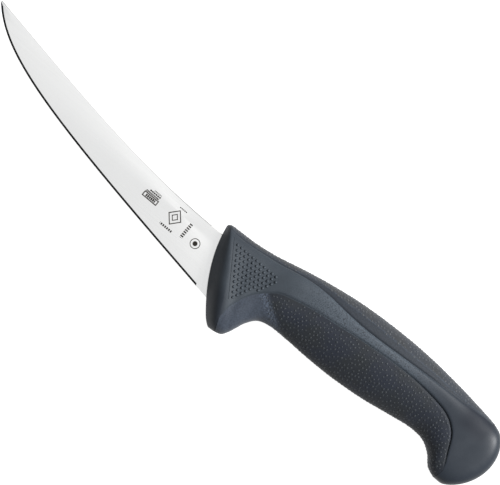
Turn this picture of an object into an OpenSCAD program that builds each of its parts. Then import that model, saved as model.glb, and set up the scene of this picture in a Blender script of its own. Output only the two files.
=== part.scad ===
// Curved boning knife with a two-shot moulded handle.
// The blade and its tang are one piece of steel. A hard plastic core is moulded round the tang,
// and two soft grips, one over the back and one under the belly, are moulded into rebates in it.
// X runs from the tip to the butt, Y from the cutting edge to the spine, Z through the thickness.
// The knife lies on its side, and Z = 0 is the surface under it.

/* [Blade] */
// Distance from the tip to the front of the handle, along the spine
blade_reach = 137.5; // [110:0.5:170]
// How far the tip rises above the spine line at the handle
tip_rise = 16.3; // [6:0.1:22]
// Height of the blade at the heel, where its sharpened edge ends
blade_height = 24.4; // [18:0.1:29]
// Length of the straight start of the spine, which sets how late it curves
spine_lead = 44; // [30:1:60]
// Length of the straight start of the cutting edge
edge_lead = 95; // [50:1:110]
// Length of the last stretch of the edge, which sets how round the belly of the tip is
tip_sweep = 23; // [16:1:34]
// Length of edge left unsharpened ahead of the guard
heel_gap = 6; // [4:0.5:10]
// Thickness of the steel blank, which the tang keeps
steel_t = 2.4; // [1.8:0.1:2.8]
// Depth ground off each side of the blank to make the blade's flats
grind_depth = 0.1; // [0.05:0.01:0.2]
// Thickness of the spine at the tip
tip_t = 0.9; // [0.6:0.1:1.4]
// Share of the blade's height that stays flat before the bevel starts
flat_share = 0.4; // [0.25:0.05:0.6]
// Thickness behind the sharpened edge
shoulder_t = 0.4; // [0.2:0.05:0.5]
// Width of the sharpened edge
honed_w = 0.9; // [0.4:0.1:1.5]
// Thickness of the cutting edge itself
edge_t = 0.06; // [0.04:0.01:0.12]

/* [Tang] */
// Distance from the handle's front to the end of the tang
tang_length = 104; // [80:1:112]
// Height of the tang
tang_height = 12; // [8:0.5:14]
// How far the blade's full height is let into the guard
root_depth = 5; // [4:0.5:6]
// Diameter of the holes that the core's plastic locks through
lock_hole_d = 6; // [3:0.5:7]
// Number of those holes
lock_holes = 3; // [1:1:4]

/* [Handle] */
// Length of the handle, from its front at the spine to the butt
grip_length = 153.4; // [140:0.1:185]
// Height of the handle at the palm
grip_height = 33.6; // [28:0.1:41]
// Thickness at the front ridge of the guard
guard_thick = 20.4; // [17:0.1:25]
// Thickness at the panel where finger and thumb pinch the handle
pinch_thick = 17.6; // [15:0.1:22]
// Thickness at the palm
palm_thick = 22; // [18:0.1:27]
// Thickness just before the butt
butt_thick = 21.4; // [18:0.1:26]
// How far the finger guard hangs below the belly of the handle
guard_drop = 17.6; // [14:0.1:22]
// How far the hook at the butt hangs below the belly
hook_drop = 10.2; // [7:0.1:13]

/* [Soft grips] */
// Wall thickness of the soft grips
soft_t = 1.8; // [1.2:0.1:2.4]
// Diameter of the lugs that key the grips into the core
lug_d = 4; // [2.5:0.5:5]
// Depth of those lugs below the grip's inner face
lug_depth = 2.5; // [1.5:0.5:3.5]
// Number of lugs on each grip
lug_count = 3; // [2:1:5]

/* [Mesh] */
// Steps between two handle sections
section_steps = 2; // [1:1:4]
// Steps round the belly, on each side
belly_steps = 7; // [4:1:12]
// Steps across the side band, on each side
band_steps = 4; // [3:1:8]
// Steps round the back, on each side
back_steps = 5; // [3:1:8]
// Steps over the rounded front and over the rounded butt
cap_steps = 5; // [4:1:10]
// Steps along the blade
blade_steps = 30; // [20:1:60]

/* [Hidden] */

// Height of the spine over the knife's own axis where it enters the handle.
spine_y = 9;

// The section table is drawn at these sizes, and stretched to the chosen ones.
table_length = 153.4;
table_height = 33.6;
// The guard keeps its own length when the handle is made longer.
guard_length = 40;

// Handle sections, front to butt. Each one is a line across the handle seen from its side:
// back x, back y, belly x, belly y, guard share, hook share, bow, belly seam, spine seam.
// The shares say how much of guard_drop and hook_drop hangs below belly y. The bow curves the line
// along X. The seams are places on the line, from 0 at the belly to 1 at the back.
sections = [
    [  1.4, 14.8,  25.0, -8.0, 1.00, 0.00,  2.2, 0.140, 0.960],
    [  7.5, 15.0,  28.1, -8.0, 0.94, 0.00,  0.8, 0.270, 0.954],
    [ 14.5, 15.4,  29.9, -8.0, 0.79, 0.00,  0.0, 0.345, 0.954],
    [ 21.5, 16.3,  31.3, -8.0, 0.60, 0.00,  0.0, 0.430, 0.953],
    [ 28.5, 17.7,  33.1, -8.0, 0.35, 0.00,  0.0, 0.475, 0.938],
    [ 35.5, 19.4,  36.7, -8.0, 0.11, 0.00,  0.0, 0.510, 0.927],
    [ 43.5, 21.2,  43.0, -8.2, 0.00, 0.00,  0.0, 0.525, 0.910],
    [ 52.5, 22.9,  52.5, -8.1, 0.00, 0.00,  0.0, 0.560, 0.869],
    [ 64.5, 24.7,  64.5, -8.4, 0.00, 0.00,  0.0, 0.583, 0.793],
    [ 77.5, 25.8,  77.5, -8.1, 0.00, 0.00,  0.0, 0.610, 0.756],
    [ 92.5, 26.3,  92.5, -6.7, 0.00, 0.00,  0.0, 0.624, 0.761],
    [105.5, 26.0, 105.5, -4.5, 0.00, 0.00,  0.0, 0.611, 0.781],
    [116.5, 25.2, 116.5, -2.8, 0.00, 0.00,  0.0, 0.570, 0.812],
    [125.5, 24.3, 124.2, -2.6, 0.00, 0.08,  0.0, 0.530, 0.857],
    [132.5, 23.4, 129.9, -2.6, 0.00, 0.40,  0.0, 0.450, 0.910],
    [138.5, 22.6, 133.8, -2.6, 0.00, 0.80,  0.0, 0.300, 0.955],
    [143.5, 21.9, 138.0, -2.6, 0.00, 1.00,  0.0, 0.140, 0.975],
];
last = len(sections) - 1;

// Outlines that the rounded front and the rounded butt end in:
// back x, back y, belly x, belly y, share of the guard's or the hook's drop, bow.
front_line = [-0.2, 14.3, 20.7, -8.0, 1.01, -3.9];
butt_line = [146.3, 20.9, 141.8, -2.6, 1.01, 10.12];
// Below 1, the butt's outline is fuller than a parabola.
butt_fullness = 0.7;
// The rounded ends stop at these angles. The front's leaves a narrow lip for the blade to come out of.
front_lip = 27;
butt_lip = 2;
// Above 1, the front's face is steeper below its rounded crest.
front_steepness = 2.2;
// Above 2, the butt keeps its thickness further out and turns down more sharply.
butt_roundness = 4;
// Corners of the front's outline: share of the outline that each takes up, and how far it is cut back.
top_corner = [0.035, 1.2];
guard_corner = [0.09, 1.4];

// Half thickness, place of the widest point and roundness, each as [section, value].
half_thick_at = [[0, guard_thick / 2], [2, pinch_thick / 2 + 0.3], [3.5, pinch_thick / 2],
    [6, (pinch_thick + palm_thick) / 4], [9.5, palm_thick / 2], [12.5, palm_thick / 2 - 0.7],
    [15, butt_thick / 2], [16, butt_thick / 2 - 0.1]];
crown_at = [[0, 0.52], [2, 0.60], [4, 0.69], [8, 0.69], [12, 0.68], [14, 0.62], [16, 0.52]];
roundness_at = [[0, 2.8], [2, 3.0], [5, 2.5], [9, 2.2], [12, 2.3], [16, 4.0]];
// Half width of the stretch that a surface's slope is measured over.
slope_reach = 0.004;
// Least half thickness of the core under a grip.
least_core = 0.2;

// ---- Curves ----
// A smooth curve through the rows of a table, at place s counted in rows.
function through(rows, s) =
    let (n = len(rows) - 1, i = max(0, min(n - 1, floor(s))), f = s - i,
         a = rows[max(i - 1, 0)], b = rows[i], c = rows[i + 1], d = rows[min(i + 2, n)])
    b + 0.5 * f * ((c - a) + f * ((2 * a - 5 * b + 4 * c - d) + f * (3 * (b - c) + d - a)));

// A value from a list of [place, value] pairs, eased between them.
function eased(pairs, s, i = 0) =
    i >= len(pairs) - 1 || s <= pairs[0][0] ? pairs[min(i, len(pairs) - 1)][1]
    : s > pairs[i + 1][0] ? eased(pairs, s, i + 1)
    : let (f = (s - pairs[i][0]) / (pairs[i + 1][0] - pairs[i][0]))
      pairs[i][1] + (pairs[i + 1][1] - pairs[i][1]) * f * f * (3 - 2 * f);

// A point of a curve that leaves a for b and reaches d from c.
function bezier(a, b, c, d, u) =
    let (v = 1 - u)
    v * v * v * a + 3 * v * v * u * b + 3 * v * u * u * c + u * u * u * d;

// ---- Surface of the handle ----
// A table place moved for the chosen handle length and height. X starts at the tip of the blade.
function along(x) = blade_reach + (x <= guard_length ? x
    : guard_length + (x - guard_length) * (grip_length - guard_length) / (table_length - guard_length));
function raised(y) = y * grip_height / table_height;

// A section's line as [back point, belly point, bow].
function chord(s) =
    let (r = through(sections, s))
    [[along(r[0]), raised(r[1])],
     [along(r[2]), raised(r[3]) - guard_drop * r[4] - hook_drop * r[5]], r[6]];
function end_chord(r, drop) =
    [[along(r[0]), raised(r[1])], [along(r[2]), raised(r[3]) - drop * r[4]], r[5]];
front_chord = end_chord(front_line, guard_drop);
butt_chord = end_chord(butt_line, hook_drop);

// A point of a section's line, at t from the belly to the back.
function on_chord(c, t, fullness = 1) =
    c[1] + t * (c[0] - c[1]) + [c[2] * pow(4 * t * (1 - t), fullness), 0];

// Half thickness of the handle at section s and place t on its line.
function half_thick(s, t) =
    let (m = eased(crown_at, s), p = eased(roundness_at, s), d = abs(t - m) / (t < m ? m : 1 - m))
    eased(half_thick_at, s) * pow(max(0, 1 - pow(d, p)), 1 / p);

function outer(s, t) =
    let (q = on_chord(chord(s), t))
    [q[0], q[1], half_thick(s, t)];

// The face under a soft grip: the outer face moved in by the grip's wall, square to the surface.
function inner(s, t) =
    let (c = chord(s), across = c[0] - c[1], up = across / norm(across), p = outer(s, t),
         lo = max(t - slope_reach, 0), hi = min(t + slope_reach, 1),
         run = (hi - lo) * norm(across), rise = half_thick(s, hi) - half_thick(s, lo),
         n = t <= 0 ? [-1, 0] : t >= 1 ? [1, 0] : [-rise, run] / norm([rise, run]))
    [p[0] - soft_t * n[0] * up[0], p[1] - soft_t * n[0] * up[1],
     t <= 0 || t >= 1 ? 0 : max(p[2] - soft_t * n[1], least_core)];

// How far a rounded corner cuts the front's outline back, at a share of the outline from its end.
function cut_back(corner, share) =
    let (u = max(0, 1 - share / corner[0])) corner[1] * (1 - sqrt(1 - u * u));

// The rounded front and butt: from the end section out to the end's outline.
function front_cap(t, angle) =
    let (a = on_chord(chord(0), t), run = cos(angle) / cos(front_lip),
         f = on_chord(front_chord, t) + [cut_back(guard_corner, t) + cut_back(top_corner, 1 - t), 0],
         q = a + (f - a) * run)
    [q[0], q[1], half_thick(0, t) * pow(sin(angle), front_steepness)];
function butt_cap(t, angle) =
    let (a = on_chord(chord(last), t), f = on_chord(butt_chord, t, butt_fullness),
         q = a + (f - a) * cos(angle), fall = 1 - pow(cos(angle), butt_roundness))
    [q[0], q[1], half_thick(last, t) * pow(fall, 1 / butt_roundness)];

// ---- Rings of points ----
// Places on a section's line: round the belly, across the side band and round the back.
function belly_ts(seam) = [for (i = [0:belly_steps]) seam * (1 - cos(90 * i / belly_steps))];
function band_ts(from, to) = [for (i = [0:band_steps]) from + (to - from) * i / band_steps];
function back_ts(seam) = [for (i = [back_steps:-1:0]) 1 - (1 - seam) * (1 - cos(90 * i / back_steps))];
function belly_seam(s) = through(sections, s)[7];
function spine_seam(s) = through(sections, s)[8];
function reversed(list) = [for (i = [len(list) - 1:-1:0]) list[i]];
function mirrored(points) = [for (p = points) [p[0], p[1], -p[2]]];

// A ring is a pair of lines of equal count. One runs up a side and the other comes down.
function core_ring(s) =
    let (side = [for (t = belly_ts(belly_seam(s))) inner(s, t),
                 for (t = band_ts(belly_seam(s), spine_seam(s))) outer(s, t),
                 for (t = back_ts(spine_seam(s))) inner(s, t)])
    [side, mirrored(side)];
function cap_ring(s, angle) =
    let (ts = [each belly_ts(belly_seam(s)), each band_ts(belly_seam(s), spine_seam(s)),
               each back_ts(spine_seam(s))],
         side = [for (t = ts) s == 0 ? front_cap(t, angle) : butt_cap(t, angle)])
    [side, mirrored(side)];
// A grip's ring, with its outer face at section so and its inner face at section si.
function belly_ring(so, si) =
    let (out = [for (t = belly_ts(belly_seam(so))) outer(so, t)],
         in = [for (t = belly_ts(belly_seam(si))) inner(si, t)])
    [[each reversed(mirrored(out)), each out], [each reversed(mirrored(in)), each in]];
function spine_ring(so, si) =
    let (out = [for (t = back_ts(spine_seam(so))) outer(so, t)],
         in = [for (t = back_ts(spine_seam(si))) inner(si, t)])
    [[each out, each reversed(mirrored(out))], [each in, each reversed(mirrored(in))]];

// ---- Solids from rings ----
function apart(a, b) = norm(a - b) > 1e-6;
// Two triangles of a quad, split along its shorter diagonal, without any whose corners meet.
function quad(p, a, b, c, d) =
    let (halves = norm(p[a] - p[c]) <= norm(p[b] - p[d]) ? [[a, b, c], [a, c, d]] : [[a, b, d], [b, c, d]])
    [for (f = halves)
        if (apart(p[f[0]], p[f[1]]) && apart(p[f[1]], p[f[2]]) && apart(p[f[2]], p[f[0]])) f];
// A solid skinned over rings that follow each other along X.
module skin(rings) {
    n = 2 * len(rings[0][0]);
    end = (len(rings) - 1) * n;
    points = [for (r = rings) each concat(r[0], reversed(r[1]))];
    walls = [for (j = [0:n:end - n], i = [0:n - 1])
        each quad(points, j + i, j + (i + 1) % n, j + n + (i + 1) % n, j + n + i)];
    first_face = [for (i = [0:n / 2 - 2]) each quad(points, n - 1 - i, n - 2 - i, i + 1, i)];
    last_face = [for (i = [0:n / 2 - 2])
        each quad(points, end + i, end + i + 1, end + n - 2 - i, end + n - 1 - i)];
    polyhedron(points = points, faces = concat(walls, first_face, last_face));
}

// ---- Blade outline ----
// Where the handle's front stands at height y.
function entry_x(y) =
    on_chord(front_chord, (y - front_chord[1][1]) / (front_chord[0][1] - front_chord[1][1]))[0];
// The edge falls by this much for each millimetre towards the handle.
heel_slope = 0.16;
// The spine falls by this much for each millimetre from the tip, and the edge leaves at this angle.
tip_slope = 0.172;
tip_angle = 49;
// Height of the blunt end left at the tip.
tip_blunt = 0.8;
heel_y = spine_y - blade_height;
heel = [entry_x(heel_y) - heel_gap, heel_y];
spine_end = [entry_x(spine_y) - heel_gap, spine_y];
tip = [0, spine_y + tip_rise];
tip_lead = blade_reach * 0.365;
function spine_at(u) =
    bezier(tip, tip + tip_lead * [1, -tip_slope], spine_end - [spine_lead, 0], spine_end, u);
function edge_at(u) =
    let (start = tip - [0, tip_blunt])
    bezier(start, start + tip_sweep * [cos(tip_angle), -sin(tip_angle)],
        heel - edge_lead * [1, -heel_slope], heel, u);

// Full thickness of the ground flats, from the tip to where the taper starts ahead of the guard.
plunge_gap = 1;
plunge_x = spine_end[0] + heel_gap - plunge_gap;
root_t = steel_t - 2 * grind_depth;
function flat_t(x) = tip_t + (root_t - tip_t) * x / plunge_x;
// Near the tip the blade is no thicker than its shoulder and this share of its height.
tip_fall = 0.1;

// A blade section: edge, shoulder of the sharpened edge, foot of the flat, spine. The flats are
// planes, so they taper with X. honed is 1 where the edge is sharpened and 0 where it isn't.
function blade_ring(edge, spine, honed, thick = 0) =
    let (across = spine - edge, height = norm(across), foot = edge + (1 - flat_share) * across,
         shoulder = edge + min(honed_w, 0.3 * height) / height * across,
         most = shoulder_t + tip_fall * height,
         side = [[edge[0], edge[1], (shoulder_t + (edge_t - shoulder_t) * honed) / 2],
                 [shoulder[0], shoulder[1], shoulder_t / 2],
                 [foot[0], foot[1], (thick > 0 ? thick : min(most, flat_t(foot[0]))) / 2],
                 [spine[0], spine[1], (thick > 0 ? thick : min(most, flat_t(spine[0]))) / 2]])
    [side, mirrored(side)];
// The sharpening runs out over this length.
run_out = 1.5;
function heel_ring(dx, honed, thick = 0) =
    blade_ring(heel + dx * [1, -heel_slope], spine_end + [dx, 0], honed, thick);

// ---- Tang ----
// The tang's middle line, measured from the handle's front.
tang_start = [blade_reach + 4, raised(2.5)];
tang_end = [blade_reach + tang_length, raised(10)];
tang_angle = atan2(tang_end[1] - tang_start[1], tang_end[0] - tang_start[0]);
tang_run = norm(tang_end - tang_start);
// The root plate stays this far inside the blade's outline, and starts this far inside the guard.
root_inset = 3;
root_start = 2.5;
// The lock holes share the stretch of tang behind the guard.
lock_from = 0.3;

// The root keeps the blank's thickness from just inside the guard.
module root_plate() {
    top = spine_y - root_inset;
    bottom = heel_y + root_inset;
    polygon([[entry_x(top) + root_start, top], [entry_x(top) + root_depth + root_start, top],
        [entry_x(bottom) + root_depth, bottom], [entry_x(bottom) + root_start, bottom]]);
}

module tang_plate() {
    translate([0, 0, -steel_t / 2])
        linear_extrude(steel_t) {
            root_plate();
            translate(tang_start)
                rotate(tang_angle) {
                    translate([0, -tang_height / 2])
                        square([tang_run - tang_height / 2, tang_height]);
                    translate([tang_run - tang_height / 2, 0])
                        circle(d = tang_height, $fn = 48);
                }
        }
}

module lock_cylinders() {
    for (i = [0:lock_holes - 1])
        translate(tang_start)
            rotate(tang_angle)
                translate([tang_run * (lock_from + (1 - lock_from) * (i + 0.3) / lock_holes), 0, -steel_t])
                    cylinder(d = lock_hole_d, h = 2 * steel_t, $fn = 48);
}

module blade_steel() {
    difference() {
        union() {
            skin([for (i = [0:blade_steps]) let (u = i / blade_steps)
                    blade_ring(edge_at(u), spine_at(u), 1),
                heel_ring(run_out, 0),
                heel_ring(heel_gap - plunge_gap, 0),
                heel_ring(heel_gap + root_depth, 0, root_t)]);
            tang_plate();
        }
        lock_cylinders();
    }
}

// ---- Handle pieces ----
// The rebates' end walls slope by this share of a section.
end_slope = 0.2;
inner_stations = [for (i = [1:last * section_steps - 1]) i / section_steps];
function cap_angles(lip) = [for (i = [0:cap_steps]) lip + (90 - lip) * i / cap_steps];

module handle_block() {
    skin([for (angle = cap_angles(front_lip)) cap_ring(0, angle),
        for (s = [end_slope, each inner_stations, last - end_slope]) core_ring(s),
        for (angle = reversed(cap_angles(butt_lip))) cap_ring(last, angle)]);
}

// Sections that the lugs stand on, shared out between these two.
lug_from = 5.5;
lug_to = 12;
function lug_section(i) = lug_from + (lug_to - lug_from) * i / (lug_count - 1);
// Cylinders that stand on the inner face at t, pointing into the core, and reach back into the
// grip's wall by half its thickness.
module lugs(t) {
    for (i = [0:lug_count - 1])
        translate([inner(lug_section(i), t)[0], inner(lug_section(i), t)[1], 0])
            rotate([t == 0 ? -90 : 90, 0, 0])
                translate([0, 0, -soft_t / 2])
                    cylinder(d = lug_d, h = soft_t / 2 + lug_depth, $fn = 32);
}

module core_solid() {
    difference() {
        handle_block();
        blade_steel();
        lugs(0);
        lugs(1);
    }
}

module belly_solid() {
    union() {
        skin([belly_ring(0, end_slope), belly_ring(end_slope, end_slope),
            for (s = inner_stations) belly_ring(s, s),
            belly_ring(last - end_slope, last - end_slope), belly_ring(last, last - end_slope)]);
        lugs(0);
    }
}

module spine_solid() {
    union() {
        skin([spine_ring(0, end_slope), spine_ring(end_slope, end_slope),
            for (s = inner_stations) spine_ring(s, s),
            spine_ring(last - end_slope, last - end_slope), spine_ring(last, last - end_slope)]);
        lugs(1);
    }
}

// ---- Placing ----
// The origin is under the middle of the knife as it lies.
survey = [for (i = [0:4 * last]) i / 4];
length_over_all = max([for (i = [0:40]) butt_cap(i / 40, butt_lip)[0]]);
top_y = max([for (s = survey) chord(s)[0][1]]);
bottom_y = min([front_chord[1][1], for (s = survey) chord(s)[1][1]]);
half_depth = max([for (s = survey) eased(half_thick_at, s)]);
module placed() {
    translate([-length_over_all / 2, -(top_y + bottom_y) / 2, half_depth])
        children();
}

module blade() {
    color("#e4e5e6")
        placed()
            blade_steel();
}

module handle_core() {
    color("#505862")
        placed()
            core_solid();
}

module spine_grip() {
    color("#484b4e")
        placed()
            spine_solid();
}

module belly_grip() {
    color("#2e333c")
        placed()
            belly_solid();
}

blade();
handle_core();
spine_grip();
belly_grip();
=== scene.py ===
"""Curved boning knife: a satin steel blade in a moulded handle with soft pebbled grips.

Sizes in the tables are in millimetres, in the knife's own frame: X from the tip to the butt, Y from the
cutting edge to the spine, Z through the thickness. Meshes are in metres in the shared frame.
"""

from math import cos, pi, radians, sin

import bmesh
import bpy
import numpy as np
from bpy.props import FloatProperty, FloatVectorProperty, IntProperty, PointerProperty
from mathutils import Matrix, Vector


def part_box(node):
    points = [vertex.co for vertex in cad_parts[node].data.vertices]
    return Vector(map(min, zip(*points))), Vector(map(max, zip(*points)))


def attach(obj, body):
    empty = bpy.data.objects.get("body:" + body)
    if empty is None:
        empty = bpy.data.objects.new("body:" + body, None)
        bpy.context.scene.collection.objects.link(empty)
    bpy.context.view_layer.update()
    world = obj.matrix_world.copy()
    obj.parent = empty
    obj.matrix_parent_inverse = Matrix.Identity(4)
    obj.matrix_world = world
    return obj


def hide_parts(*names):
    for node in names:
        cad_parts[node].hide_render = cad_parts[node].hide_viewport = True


bl_info = {
    "name": "Boning knife",
    "version": (1, 0, 0),
    "blender": (4, 5, 0),
    "location": "3D View > Sidebar > Knife",
    "description": "Builds a curved boning knife round its packed frame",
    "category": "Add Mesh",
}

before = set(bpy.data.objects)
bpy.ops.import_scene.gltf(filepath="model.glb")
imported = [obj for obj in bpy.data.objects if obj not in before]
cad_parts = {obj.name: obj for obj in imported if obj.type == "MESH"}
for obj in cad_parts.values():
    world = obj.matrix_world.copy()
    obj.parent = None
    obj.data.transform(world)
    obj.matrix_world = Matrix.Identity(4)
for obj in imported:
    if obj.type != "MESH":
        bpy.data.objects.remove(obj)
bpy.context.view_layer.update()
BODY = "root"
MM = 0.001

# ---- Tables of the handle, in millimetres from its front at the spine ----
# Sections, front to butt: back x, back y, belly x, belly y, bow along X, belly seam, spine seam.
# A seam is a place on the section's line, from 0 at the belly to 1 at the back.
SECTIONS = np.array([
    (1.4, 14.8, 25.0, -25.6, 2.2, 0.140, 0.960),
    (7.5, 15.0, 28.1, -24.5, 0.8, 0.270, 0.954),
    (14.5, 15.4, 29.9, -21.9, 0.0, 0.345, 0.954),
    (21.5, 16.3, 31.3, -18.6, 0.0, 0.430, 0.953),
    (28.5, 17.7, 33.1, -14.2, 0.0, 0.475, 0.938),
    (35.5, 19.4, 36.7, -9.9, 0.0, 0.510, 0.927),
    (43.5, 21.2, 43.0, -8.2, 0.0, 0.525, 0.910),
    (52.5, 22.9, 52.5, -8.1, 0.0, 0.560, 0.869),
    (64.5, 24.7, 64.5, -8.4, 0.0, 0.583, 0.793),
    (77.5, 25.8, 77.5, -8.1, 0.0, 0.610, 0.756),
    (92.5, 26.3, 92.5, -6.7, 0.0, 0.624, 0.761),
    (105.5, 26.0, 105.5, -4.5, 0.0, 0.611, 0.781),
    (116.5, 25.2, 116.5, -2.8, 0.0, 0.570, 0.812),
    (125.5, 24.3, 124.2, -3.4, 0.0, 0.530, 0.857),
    (132.5, 23.4, 129.9, -6.7, 0.0, 0.450, 0.910),
    (138.5, 22.6, 133.8, -10.8, 0.0, 0.300, 0.955),
    (143.5, 21.9, 138.0, -12.8, 0.0, 0.140, 0.975),
])
LAST = len(SECTIONS) - 1
# Outlines that the rounded front and the rounded butt end in: back x, back y, belly x, belly y, bow.
FRONT_LINE = (-0.2, 14.3, 20.7, -25.8, -3.9)
BUTT_LINE = (146.3, 20.9, 141.8, -12.9, 10.12)
BUTT_FULLNESS = 0.7
# Above 1, the front's face is steeper below its rounded crest.
FRONT_STEEPNESS = 2.2
FRONT_LIP = radians(27)
# Corners of the front's outline: share of the outline that each takes up, and how far it is cut back.
TOP_CORNER = (0.035, 1.2)
GUARD_CORNER = (0.09, 1.4)
BUTT_LIP = radians(2)
# Above 2, the butt keeps its thickness further out and turns down more sharply.
BUTT_ROUNDNESS = 4.0
# Half thickness, place of the widest point and roundness along the handle, as (section, value).
HALF_THICK = ((0, 10.2), (2, 9.1), (3.5, 8.8), (6, 9.9), (9.5, 11.0), (12.5, 10.3), (15, 10.7), (16, 10.6))
CROWN = ((0, 0.52), (2, 0.60), (4, 0.69), (8, 0.69), (12, 0.68), (14, 0.62), (16, 0.52))
ROUNDNESS = ((0, 2.8), (2, 3.0), (5, 2.5), (9, 2.2), (12, 2.3), (16, 4.0))
# How deep the crease between the band and each grip is, as (section, depth).
BELLY_CREASE = ((0, 0.0), (3, 0.04), (8, 0.05), (10, 0.18), (12, 0.40), (14.5, 0.40), (16, 0.10))
SPINE_CREASE = ((0, 0.10), (2, 0.22), (6, 0.38), (11, 0.40), (12.5, 0.12), (14, 0.03), (16, 0.0))
# How far the belly grip falls away below the band, over a few millimetres.
BELLY_FALL = ((0, 0.20), (3, 0.60), (6, 0.55), (12, 0.45), (15, 0.30), (16, 0.10))
SPINE_FALL = ((0, 0.10), (4, 0.25), (8, 0.30), (12, 0.15), (16, 0.05))
# Widths of those creases and falls, and of the band's rounded edges.
CREASE_WIDTH = 0.45
BELLY_FALL_WIDTH = 3.5
SPINE_FALL_WIDTH = 2.5
BAND_EDGE = 0.85
# The step down from the core to a grip where the grip ends, and the share of the wall it starts at.
END_CREASE = 0.22
END_STEP = 0.15
# Millimetres from one section to the next near both ends.
END_SPACING = 5.0
# Above 1, points crowd towards the seams.
SEAM_GRADING = 1.7
# Rings of the rounded front and of the butt.
CAP_RINGS = 14

# ---- Pips and pebbles, in millimetres from the handle's front at the spine ----
# The pips keep this far from both seams, and stop at PANEL_END.
PANEL_MARGIN = 1.5
PANEL_END = 32.2
# The lattice of pips: its columns, its rows and the place of its first pip.
PIP_COLUMNS, PIP_ROWS = 14, 11
PIP_CORNER = (8.85, 9.8)
# The belly grip is bare by the guard, where its smooth rubber is painted lighter and bluer as painted light
# on the hook facing the key. Its pebbles start over this stretch, along a line with this slant.
GUARD_BARE = (26.0, 38.0)
GUARD_FADE = 1.66
# How far from its seam the back grip stays smooth, as (section, millimetres).
SPINE_CLEAR = ((0, 0.3), (5, 0.4), (7, 2.5), (9, 4.2), (11, 2.5), (13, 0.8), (16, 0.4))
# Pebbles start over these distances from the belly grip's seam, the back grip's smooth part and a grip's end.
BELLY_START, SPINE_START, END_START = (0.3, 0.9), 0.8, (0.5, 2.0)
# Share of a dome that is sunk into the surface, and its segments and rings.
PIP_SUNK, PIP_FINENESS = 0.2, (12, 8)
PEBBLE_SUNK, PEBBLE_FINENESS = 0.5, (8, 5)
# Smallest and largest pebble, as shares of its radius.
PEBBLE_SIZES = (0.75, 1.15)
# More pebbles than this in a square metre are never tried for.
PEBBLE_TRIES = 2.0e6
# How far above and below the knife the pips are dropped from, in metres.
DROP = 0.05

# ---- Blade, in millimetres ----
# Outline of the blade, as in its drawing: spine height, slopes and angles where the curves start.
SPINE_Y = 9.0
SPINE_LEAD, EDGE_LEAD, TIP_SWEEP, HEEL_GAP = 44.0, 95.0, 23.0, 6.0
HEEL_SLOPE, TIP_SLOPE, TIP_ANGLE, TIP_BLUNT, TIP_LEAD = 0.16, 0.172, radians(49), 0.8, 0.365
# Near the tip the blade is no thicker than its shoulder and this share of its height.
TIP_FALL = 0.1
# Where the sharpening runs out, where the grind ends before the guard, and how deep the root goes.
RUN_OUT, PLUNGE_GAP, ROOT_DEPTH = 1.5, 1.0, 5.0
SPINE_BREAK = 0.34
# No sharpened edge or broken corner takes up more than this share of the blade's height.
MOST_HONED, MOST_BROKEN = 0.3, 0.2
# The root plate stays this far inside the blade's outline, and starts this far inside the guard.
ROOT_INSET, ROOT_START = 3.0, 2.5
# The tang's middle line from the handle's front, its height, and its lock holes' size and number.
TANG_START, TANG_END, TANG_HEIGHT = (4.0, 2.5), (104.0, 10.0), 12.0
LOCK_D, LOCK_HOLES = 6.0, 3
# The holes share the stretch of tang behind this share of it, each this share into its own part.
LOCK_FROM, LOCK_INTO = 0.3, 0.3
# A face nearer the edge than this share of the sharpened width is part of it.
HONED_REACH = 0.8
# How much of the edge's painted dark, a painted reflection of dark surroundings, the broken corner of the
# spine gets.
SPINE_SHADE = 0.45

# ---- Etched marks, in millimetres: X from the tip, Y from the knife's axis ----
MARK_STROKE = 0.52
MARK_COLOUR = (0.014, 0.012, 0.010)
FRAMED_BAR = ((104.3, 1.0), (3.7, 1.0))
# Rows of dashes: centre, half size, way they run, dashes in a millimetre, and share of each that is filled.
DASHES = (
    ((104.3, 1.0), (2.6, 0.62), "x", 1.1, 0.8),
    ((104.1, 2.75), (3.5, 0.34), "x", 1.5, 0.84),
    ((104.9, 3.75), (2.9, 0.34), "x", 1.0, 0.84),
    ((105.6, 4.7), (1.9, 0.24), "x", 1.4, 0.7),
    ((118.6, 6.3), (1.9, 0.26), "x", 1.25, 0.72),
    ((117.6, -4.4), (3.4, 0.5), "x", 0.95, 0.66),
    ((125.3, 0.2), (0.75, 3.9), "y", 0.95, 0.62),
)
# The lozenges' centre and slopes, then the size and stroke of each.
LOZENGE = ((117.8, 1.4), (0.88, 0.78))
LOZENGE_LINES = ((2.9, 0.56), (1.3, 0.5))
RING_CENTRE, RING_RADIUS, RING_STROKE, RING_DOT = (131.8, -1.7), 2.15, 0.36, (1.0, 1.25)

# ---- Zones of the core's finish and its painted shade, in millimetres: X from the tip, Y from the knife's axis ----
# Grain comes in over the first stretch and goes out over the second. The butt is smooth from BUTT_SMOOTH, and
# painted darker there as painted shade.
GRAIN_IN, GRAIN_OUT = (168.0, 200.0), (232.0, 264.0)
BUTT_SMOOTH = (226.0, 262.0)
# The foot and top of the guard, painted darker as painted shade: where each ends along X, and where it starts
# along Y.
FOOT_END, FOOT_START, FOOT_SLANT = (150.5, 153.5), (-13.0, -5.0), 0.5
TOP_END, TOP_START = (148.0, 160.0), (4.0, 12.0)
# The ridge of the butt by the back grip, painted darker as painted shade over the highlight its shape
# catches: where it comes in and goes out along X, and where it starts along Y.
RIDGE_IN, RIDGE_OUT, RIDGE_START = (262.0, 272.0), (279.0, 284.0), (9.0, 15.0)
# Colour that the painted shade darkens the core towards.
CORE_PAINTED_SHADE = (0.004, 0.006, 0.011)
# The fine groove in front of the pips, painted dark inside as painted shade: a point on it, the way square to
# it, its width and its ends.
GROOVE_POINT, GROOVE_WAY = (144.6, 9.0), (0.824, 0.567)
GROOVE_WIDTH, GROOVE_MIDDLE, GROOVE_HALF = 0.4, 0.5, 11.0

# ---- Stage, in metres ----
SKY_COLOUR = (0.94, 0.97, 1.0, 1.0)
FLOOR_SIZE, FLOOR_GAP, FLOOR_COLOUR = 6.0, 0.0002, (0.15, 0.15, 0.15, 1)
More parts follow.
